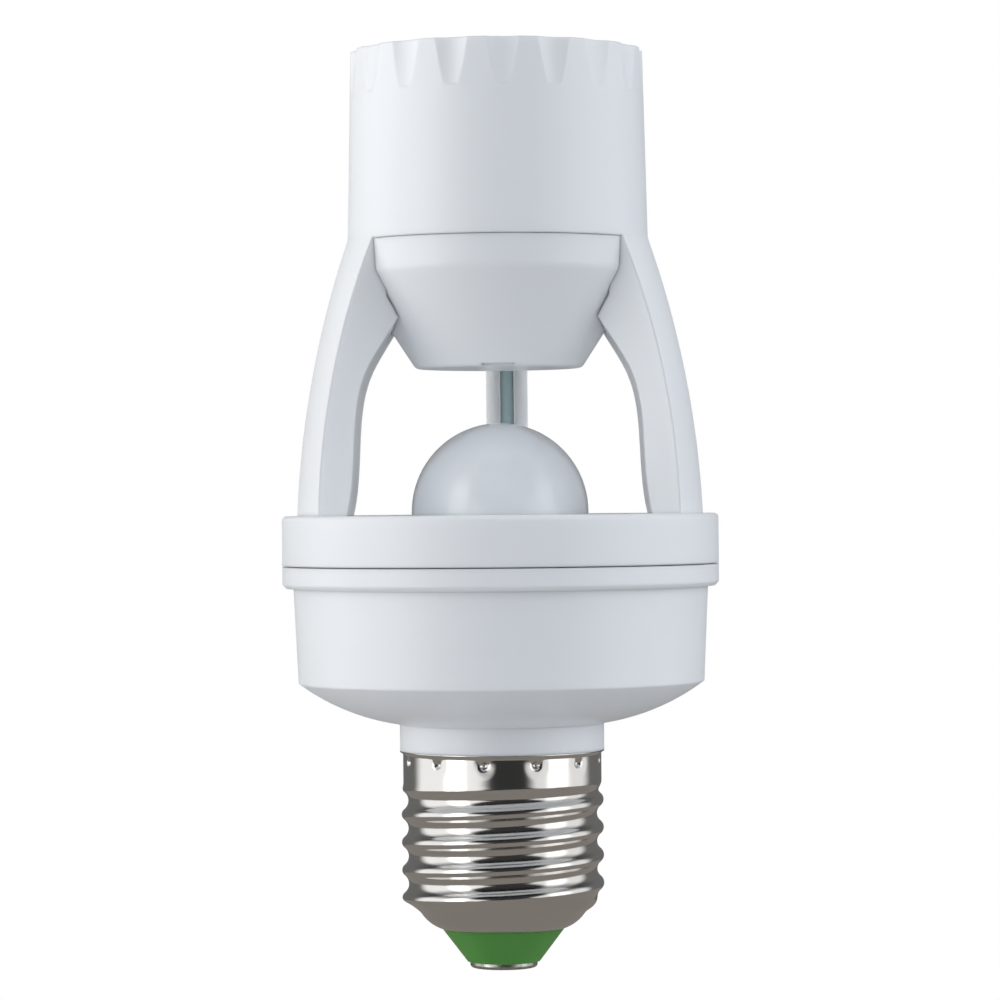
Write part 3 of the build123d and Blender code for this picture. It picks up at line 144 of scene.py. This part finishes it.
def dress(name, material):
    """Gives a piece its material."""
    mesh = cad[name].data
    mesh.materials.clear()
    mesh.materials.append(material)


finish = Finish(bpy.data.materials.new("tinned_steel"))
scuff = finish.ease(finish.noise(0.0006, 4.0, 0.7), 0.45, 0.7)
tinned_steel = finish.surface(
    Base_Color=finish.blend(scuff, (0.56, 0.57, 0.54), (0.4, 0.41, 0.38)),
    Metallic=1.0,
    Roughness=0.22 + 0.2 * scuff,
    Normal=finish.bump(finish.noise(0.0012), 0.00002, 0.5),
)
dress("centre_contact", tinned_steel)

# Insulator: a cone moulded in bright green urea resin, its upper flange held inside the
# shell's curled mouth. The moulding is smooth with a half-gloss skin and faint flow marks.
finish = Finish(bpy.data.materials.new("green_resin"))
flow = finish.noise(0.003, 3.0)
green_resin = finish.surface(
    Base_Color=finish.blend(flow, (0.075, 0.27, 0.045), (0.095, 0.32, 0.058)),
    Roughness=0.38 + 0.15 * flow,
    Specular_IOR_Level=0.35,
    Normal=finish.bump(finish.noise(0.0004), 0.000004),
)
dress("cap_insulator", green_resin)

# Screw shell: thin brass sheet, drawn to a cup, rolled with a rounded thread and plated
# with bright nickel. Its top edge is turned out over the neck and it is punched into the
# neck all round. The mesh follows the real thread: a tight arc over each crest, running
# into a wider arc in each root.
PITCH = 0.0254 / 7
CREST_R = 0.0132
THREAD_DEPTH = 0.00088
CREST_ARC = 0.00085
CREST_AT_LEFT = 0.00914
THREAD_STARTS = (0.0071, 0.0092)
THREAD_ENDS = (0.0226, 0.0243)
BAND_R = 0.01295
SHELL_TOP = 0.0284
SHELL_WALL = 0.0003
CURL_CENTRE = (0.0066, 0.00985)
CURL_R = 0.00493
MOUTH_R = 0.0081
LIP_REACH = 0.0004
LIP_TURNS = (SHELL_TOP - 0.00042, SHELL_TOP - 0.0002)
DENT_Z = 0.02705
DENT_R = 0.00072
DENT_DEEP = 0.00048
DIMPLE_R = 0.0019
DIMPLE_DEEP = 0.0001
DENTS_END = (SHELL_TOP - 0.0009, SHELL_TOP - 0.0005)
DENTS = [math.radians(20 + 30 * k) for k in range(12)]
ROUND = 360
CURL_ROWS = 14
CURL_MEETS_THREAD = 0.0070
ROW_STEP = 0.00017
INNER_ROWS_PER_STEP = 4


def smooth(value, low, high):
    """The value's stretch from low to high, eased into the stretch from 0 to 1."""
    t = min(max((value - low) / (high - low), 0.0), 1.0)
    return t * t * (3 - 2 * t)


def thread_radius(angle, z):
    """The rolled thread's outer radius, its crest at the left at CREST_AT_LEFT."""
    turn = (z - CREST_AT_LEFT) / PITCH - (angle - math.pi) / math.tau
    off = abs(turn - round(turn)) * PITCH
    both_arcs = (PITCH**2 / 4 + THREAD_DEPTH**2) / (2 * THREAD_DEPTH)
    root_arc = both_arcs - CREST_ARC
    if off <= CREST_ARC * PITCH / 2 / both_arcs:
        return CREST_R - CREST_ARC + math.sqrt(CREST_ARC**2 - off**2)
    return CREST_R - THREAD_DEPTH + root_arc - math.sqrt(root_arc**2 - (PITCH / 2 - off) ** 2)


def shell_point(angle, z, inset):
    """The shell's outer face at an angle and a height, taken in by the inset."""
    under_centre = max(CURL_CENTRE[1] - z, 0)
    curl = CURL_CENTRE[0] + math.sqrt(max((CURL_R - inset) ** 2 - under_centre**2, 0))
    threaded = thread_radius(angle, z) - inset
    low = smooth(z, *THREAD_STARTS)
    r = curl * (1 - low) + threaded * low
    high = smooth(z, *THREAD_ENDS)
    r = r * (1 - high) + (BAND_R - inset) * high
    r += LIP_REACH * smooth(z, *LIP_TURNS)
    below_lip = 1 - smooth(z, *DENTS_END)
    for dent in DENTS:
        turn = (angle - dent + math.pi) % math.tau - math.pi
        away = math.hypot(turn * BAND_R, z - DENT_Z)
        r -= DENT_DEEP * (1 - smooth(away, 0.1 * DENT_R, DENT_R)) * below_lip
        r -= DIMPLE_DEEP * (1 - smooth(away, 0, DIMPLE_R)) * below_lip
    return (r * math.cos(angle), r * math.sin(angle), z)


def skin(name, rings, material):
    """A closed mesh laid over rings of points, the last ring joined to the first."""
    mesh = bmesh.new()
    rows = [[mesh.verts.new(point) for point in ring] for ring in rings]
    for row, above in zip(rows, rows[1:] + rows[:1]):
        for k in range(len(row)):
            n = (k + 1) % len(row)
            mesh.faces.new((row[k], row[n], above[n], above[k]))
    data = bpy.data.meshes.new(name)
    mesh.to_mesh(data)
    mesh.free()
    data.materials.append(material)
    data.shade_smooth()
    piece = bpy.data.objects.new(name, data)
    bpy.context.scene.collection.objects.link(piece)
    return piece


finish = Finish(bpy.data.materials.new("bright_nickel"))
stretched = {"Vector": finish.place(), "Scale": (1, 1, 9)}
drawn = finish.noise(0.0009, 3.0, 0.6, finish.node("Mapping", {"vector_type": "POINT"}, stretched))
haze = finish.noise(0.005, 3.0)
bright_nickel = finish.surface(
    Base_Color=finish.blend(haze, (0.86, 0.85, 0.83), (0.79, 0.775, 0.75)),
    Metallic=1.0,
    Roughness=0.07 + 0.08 * haze + 0.05 * drawn,
    Normal=finish.bump(drawn, 0.000006, 0.6),
)
angles = [math.tau * k / ROUND for k in range(ROUND)]
mouth_z = CURL_CENTRE[1] - math.sqrt(CURL_R**2 - (MOUTH_R - CURL_CENTRE[0]) ** 2)
start_turn = math.asin((MOUTH_R - CURL_CENTRE[0]) / CURL_R)
row_turn = (math.acos((CURL_CENTRE[1] - CURL_MEETS_THREAD) / CURL_R) - start_turn) / CURL_ROWS
outer_heights = [
    CURL_CENTRE[1] - CURL_R * math.cos(start_turn + row_turn * k) for k in range(CURL_ROWS + 1)
]
curl_top = outer_heights[-1]
steps = round((SHELL_TOP - curl_top) / ROW_STEP)
outer_heights += [curl_top + (SHELL_TOP - curl_top) * (k + 1) / steps for k in range(steps)]
inner_heights = [max(z, mouth_z + SHELL_WALL) for z in outer_heights[::INNER_ROWS_PER_STEP]]
inner_heights.append(SHELL_TOP)
outer = [[shell_point(a, z, 0) for a in angles] for z in outer_heights]
inner = [[shell_point(a, z, SHELL_WALL) for a in angles] for z in inner_heights]
screw_shell = skin("screw_shell", outer + inner[::-1], bright_nickel)
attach(screw_shell, "root")
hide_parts("cap_shell")

# Lower housing: a bowl moulded in off-white gloss plastic with a neck that goes into the
# shell. Upper frame, socket cup and lens ring are mouldings of the same plastic. All have
# draft, a fine even skin, and edges broken by the mould.
finish = Finish(bpy.data.materials.new("white_moulding"))
cloud = finish.noise(0.012, 2.0)
skin_grain = finish.noise(0.00035, 2.0)
white_moulding = finish.surface(
    Base_Color=finish.blend(cloud, (0.86, 0.871, 0.882), (0.876, 0.885, 0.894)),
    Subsurface_Weight=0.35,
    Subsurface_Radius=(1, 0.95, 0.9),
    Subsurface_Scale=0.0012,
    Roughness=0.3 + 0.08 * cloud,
    Normal=finish.bump(skin_grain, 0.0000025, 1.0, finish.soft_edges(0.00045)),
)
for name in ("lower_housing", "upper_frame", "socket_cup", "lens_ring"):
    dress(name, white_moulding)

# Lead duct: a slim open channel of the same plastic between the cover and the cup. Its
# walls are thin enough to let daylight through. Its colour is also painted paler than the
# housing's: painted light that brightens it in the shade under the cup.
finish = Finish(bpy.data.materials.new("thin_moulding"))
cloud = finish.noise(0.006, 2.0)
thin_moulding = finish.surface(
    # Painted light: the housing's plastic given a paler colour, to lift the duct out of the cup's
    # shade.
    Base_Color=finish.blend(cloud, (0.93, 0.94, 0.95), (0.95, 0.955, 0.96)),
    Subsurface_Weight=1.0,
    Subsurface_Radius=(1, 1, 1),
    Subsurface_Scale=0.006,
    Roughness=0.3 + 0.08 * cloud,
    Normal=finish.soft_edges(0.0003),
)
dress("lead_duct", thin_moulding)

# Circuit: a green board screwed under the cover, with the sensor, its photocell and the
# control chip above it and the relay, capacitors, diodes and resistors below. All of it
# is shut in by the housing.
finish = Finish(bpy.data.materials.new("board_laminate"))
weave = finish.noise(0.0008, 2.0)
board_laminate = finish.surface(
    Base_Color=finish.blend(weave, (0.02, 0.12, 0.045), (0.03, 0.16, 0.06)),
    Roughness=0.35 + 0.1 * weave,
)
dress("circuit_board", board_laminate)
finish = Finish(bpy.data.materials.new("black_case"))
matt = finish.noise(0.0003, 3.0)
black_case = finish.surface(
    Base_Color=finish.blend(matt, (0.018, 0.018, 0.02), (0.035, 0.035, 0.037)),
    Roughness=0.45 + 0.2 * matt,
)
black_pieces = "control_chip sensor_spacer smoothing_capacitor timing_capacitor rectifier_diodes"
for name in black_pieces.split():
    dress(name, black_case)
finish = Finish(bpy.data.materials.new("relay_case"))
matt = finish.noise(0.0006, 3.0)
relay_case = finish.surface(
    Base_Color=finish.blend(matt, (0.01, 0.045, 0.22), (0.015, 0.06, 0.27)),
    Roughness=0.4 + 0.2 * matt,
)
dress("relay", relay_case)
finish = Finish(bpy.data.materials.new("yellow_case"))
matt = finish.noise(0.0006, 3.0)
yellow_case = finish.surface(
    Base_Color=finish.blend(matt, (0.6, 0.36, 0.03), (0.68, 0.42, 0.04)),
    Roughness=0.35 + 0.2 * matt,
)
dress("film_capacitor", yellow_case)
finish = Finish(bpy.data.materials.new("beige_lacquer"))
matt = finish.noise(0.0006, 3.0)
beige_lacquer = finish.surface(
    Base_Color=finish.blend(matt, (0.5, 0.36, 0.2), (0.56, 0.42, 0.25)),
    Roughness=0.4 + 0.2 * matt,
)
for name in ("resistors", "photocell"):
    dress(name, beige_lacquer)
for name in ("board_screws", "pir_sensor"):
    dress(name, tinned_steel)

# Dome lens: a thin half ball moulded in clouded polyethylene, which heat passes through.
# It is greyer than the housing because light enters it, and it has a soft gloss.
finish = Finish(bpy.data.materials.new("clouded_polyethylene"))
cloud = finish.noise(0.004, 3.0)
clouded = finish.surface(
    Base_Color=finish.blend(cloud, (0.84, 0.865, 0.885), (0.87, 0.89, 0.905)),
    Subsurface_Weight=0.2,
    Subsurface_Radius=(1, 1, 1),
    Subsurface_Scale=0.001,
    Specular_IOR_Level=0.85,
    Roughness=0.12 + 0.06 * cloud,
    Normal=finish.bump(finish.noise(0.0008), 0.000004),
)
dress("dome_lens", clouded)

# Leads: stranded copper in smooth coloured plastic, brown from the contact. The one from
# the shell and the two up the duct to the lamp socket are grey-green, a tone of painted
# shade taken from the shaded slot that the front lead lies in.
finish = Finish(bpy.data.materials.new("grey_green_insulation"))
mottle = finish.noise(0.0012, 3.0)
slot_shade_green = finish.surface(
    # Painted shade: the grey-green is the shade of the duct's slot, given to the leads as their
    # colour.
    Base_Color=finish.blend(mottle, (0.4, 0.53, 0.54), (0.48, 0.61, 0.62)),
    Roughness=0.35 + 0.15 * mottle,
)
for name in ("neutral_lead", "switched_lead", "return_lead"):
    dress(name, slot_shade_green)
finish = Finish(bpy.data.materials.new("brown_insulation"))
mottle = finish.noise(0.0012, 3.0)
brown = finish.surface(
    Base_Color=finish.blend(mottle, (0.09, 0.035, 0.015), (0.12, 0.05, 0.02)),
    Roughness=0.35 + 0.15 * mottle,
)
dress("live_lead", brown)

# Lamp socket: a moulded base in the cup, a threaded sleeve riveted to it and a sprung
# contact leaf in its middle, held down by two screws.
finish = Finish(bpy.data.materials.new("steatite"))
grain = finish.noise(0.0004, 4.0, 0.6)
steatite = finish.surface(
    Base_Color=finish.blend(grain, (0.5, 0.48, 0.43), (0.6, 0.58, 0.52)),
    Roughness=0.5 + 0.2 * grain,
    Normal=finish.bump(grain, 0.00001),
)
dress("socket_base", steatite)
dress("lamp_sleeve", bright_nickel)
for name in ("sleeve_rivets", "leaf_rivet", "contact_leaf", "socket_screws"):
    dress(name, tinned_steel)

# Floor: a round pale sheet below the lamp holder, which hangs clear of it as it does when
# it is screwed in. It goes up to white for the camera and keeps the soft shadow.
FLOOR_Z = -0.05
FLOOR_R = 0.3
FLOOR_SIDES = 96
CAMERA_LIFT = 0.5
finish = Finish(bpy.data.materials.new("pale_floor"))
camera_ray = finish.node("LightPath", output="Is Camera Ray")
glossy_ray = finish.node("LightPath", output="Is Glossy Ray")
seen_from_below = finish.node("NewGeometry", output="Backfacing")
paper_tone = finish.blend(glossy_ray, (0.55, 0.555, 0.565), (0.27, 0.24, 0.21))
paper = finish.node("BsdfDiffuse", inputs={"Color": paper_tone})
lifted = {"Color": (1, 1, 1, 1), "Strength": camera_ray * CAMERA_LIFT}
lift = finish.node("Emission", inputs=lifted)
sheet = finish.node("AddShader", inputs={0: paper, 1: lift})
clear = finish.node("BsdfTransparent")
sides = {0: seen_from_below * camera_ray, 1: sheet, 2: clear}
either = finish.node("MixShader", inputs=sides)
finish.node("OutputMaterial", inputs={"Surface": either})
turns = [math.tau * k / FLOOR_SIDES for k in range(FLOOR_SIDES)]
rim = [(FLOOR_R * math.cos(turn), FLOOR_R * math.sin(turn), FLOOR_Z) for turn in turns]
floor_mesh = bpy.data.meshes.new("floor")
floor_mesh.from_pydata(rim, [], [tuple(range(FLOOR_SIDES))])
floor_mesh.materials.append(finish.owner)
floor = bpy.data.objects.new("floor", floor_mesh)
bpy.context.scene.collection.objects.link(floor)

# Studio: a large soft source on the left of the camera, another on the right, and a dimmer
# gap between them where the camera stands. Polished metal shows the two sources as bright
# walls, each with a brighter window, with a dark strip between them. Bearings are in
# degrees from the camera's side, positive to the right.
GAP_LEVEL = 0.76
LEFT_LEVEL = 1.8
RIGHT_LEVEL = 2.0
BACK_LEVEL = 1.1
TOP_LEVEL = 0.68
BELOW_SHARE = 0.4
BELOW_LEFT_SHARE = 1.9
DARK_STRIP = 0.03
LEFT_WALL = 1.0
LEFT_WINDOW = 1.2
RIGHT_WALL = 0.85
RIGHT_WINDOW = 0.6
BACK_WALL = 0.14
OVERHEAD_SHARE = 0.3
LEFT_EDGES = ((-125, -100), (-90, -21))
RIGHT_EDGES = ((48, 66), (100, 130))
BEHIND_EDGE = (100, 130)
LEFT_WALL_EDGES = ((-125, -105), (-24, -8))
LEFT_WALL_LEAN = 60
RIGHT_WALL_EDGES = ((24, 38), (105, 125))
RIGHT_WALL_LEAN = 45
LEFT_WINDOW_EDGES = ((-72, -66), (-47, -41))
RIGHT_WINDOW_EDGES = ((50, 58), (78, 88))
COOL_EDGE = (-95, -30)
scene = bpy.context.scene
if scene.world is None:
    scene.world = bpy.data.worlds.new("studio")
finish = Finish(scene.world)
towards = {"Vector": finish.node("TexCoord", output="Generated")}
apart = finish.node("SeparateXYZ", inputs=towards).socket.node
east, north, up = (Signal(apart.outputs[k]) for k in range(3))
bearing = east.math("ARCTAN2", 0 - north) * (180 / math.pi)
behind = finish.ease(abs(bearing), *BEHIND_EDGE)
overhead = finish.ease(up, 0.45, 0.8)
left = finish.ease(bearing, *LEFT_EDGES[0]) * (1 - finish.ease(bearing, *LEFT_EDGES[1]))
right = finish.ease(bearing, *RIGHT_EDGES[0]) * (1 - finish.ease(bearing, *RIGHT_EDGES[1]))
around = (
    GAP_LEVEL
    + (LEFT_LEVEL - GAP_LEVEL) * left
    + (RIGHT_LEVEL - GAP_LEVEL) * right
    + (BACK_LEVEL - GAP_LEVEL) * behind
)
above = finish.ease(up, -0.04, 0.0)
kept_below = BELOW_SHARE + (BELOW_LEFT_SHARE - BELOW_SHARE) * left
lighting = around * (kept_below + (1 - kept_below) * above) * (1 - overhead) + TOP_LEVEL * overhead
slope = abs(up)
leaning = bearing + LEFT_WALL_LEAN * slope
left_wall = finish.ease(bearing, *LEFT_WALL_EDGES[0]) * (
    1 - finish.ease(leaning, *LEFT_WALL_EDGES[1])
)
leaning = bearing - RIGHT_WALL_LEAN * slope
right_wall = finish.ease(leaning, *RIGHT_WALL_EDGES[0]) * (
    1 - finish.ease(bearing, *RIGHT_WALL_EDGES[1])
)
left_window = finish.ease(bearing, *LEFT_WINDOW_EDGES[0]) * (
    1 - finish.ease(bearing, *LEFT_WINDOW_EDGES[1])
)
right_window = finish.ease(bearing, *RIGHT_WINDOW_EDGES[0]) * (
    1 - finish.ease(bearing, *RIGHT_WINDOW_EDGES[1])
)
mirrored = (
    DARK_STRIP
    + (LEFT_WALL - DARK_STRIP) * left_wall
    + (RIGHT_WALL - DARK_STRIP) * right_wall
    + LEFT_WINDOW * left_window
    + RIGHT_WINDOW * right_window
    + (BACK_WALL - DARK_STRIP) * behind
) * finish.ease(slope, 0.35, 0.75, 1.0, OVERHEAD_SHARE)
glossy_ray = finish.node("LightPath", output="Is Glossy Ray")
camera_ray = finish.node("LightPath", output="Is Camera Ray")
level = lighting * (1 - glossy_ray) + mirrored * glossy_ray
cool = finish.ease(bearing, *COOL_EDGE) * (1 - glossy_ray)
tint = finish.blend(cool, (1.0, 1.0, 1.0), (0.93, 0.975, 1.035))
room = finish.node("Background", inputs={"Color": tint, "Strength": level})
white = finish.node("Background", inputs={"Color": (1, 1, 1, 1), "Strength": 1.0})
shown = finish.node("MixShader", inputs={0: camera_ray, 1: room, 2: white})
finish.node("OutputWorld", inputs={"Surface": shown})
scene.view_settings.view_transform = "Standard"

# Camera: level with the middle of the object and in front of it, with a long lens as the
# photograph has.
EYE_HEIGHT = 0.061
EYE_DISTANCE = 0.52
EYE_BEARING = math.radians(0.4)
EYE_ROLL = math.radians(-0.5)
EYE_LENS = 143.2
EYE_SENSOR = 36
eye = bpy.data.cameras.new("eye")
eye.lens = EYE_LENS
eye.sensor_width = EYE_SENSOR
camera = bpy.data.objects.new("eye", eye)
scene.collection.objects.link(camera)
aside, back = EYE_DISTANCE * math.sin(EYE_BEARING), EYE_DISTANCE * math.cos(EYE_BEARING)
camera.location = (aside, -back, EYE_HEIGHT)
turned = Matrix.Rotation(EYE_BEARING, 3, "Z") @ Matrix.Rotation(math.pi / 2, 3, "X")
camera.rotation_euler = (turned @ Matrix.Rotation(EYE_ROLL, 3, "Z")).to_euler()
scene.camera = camera
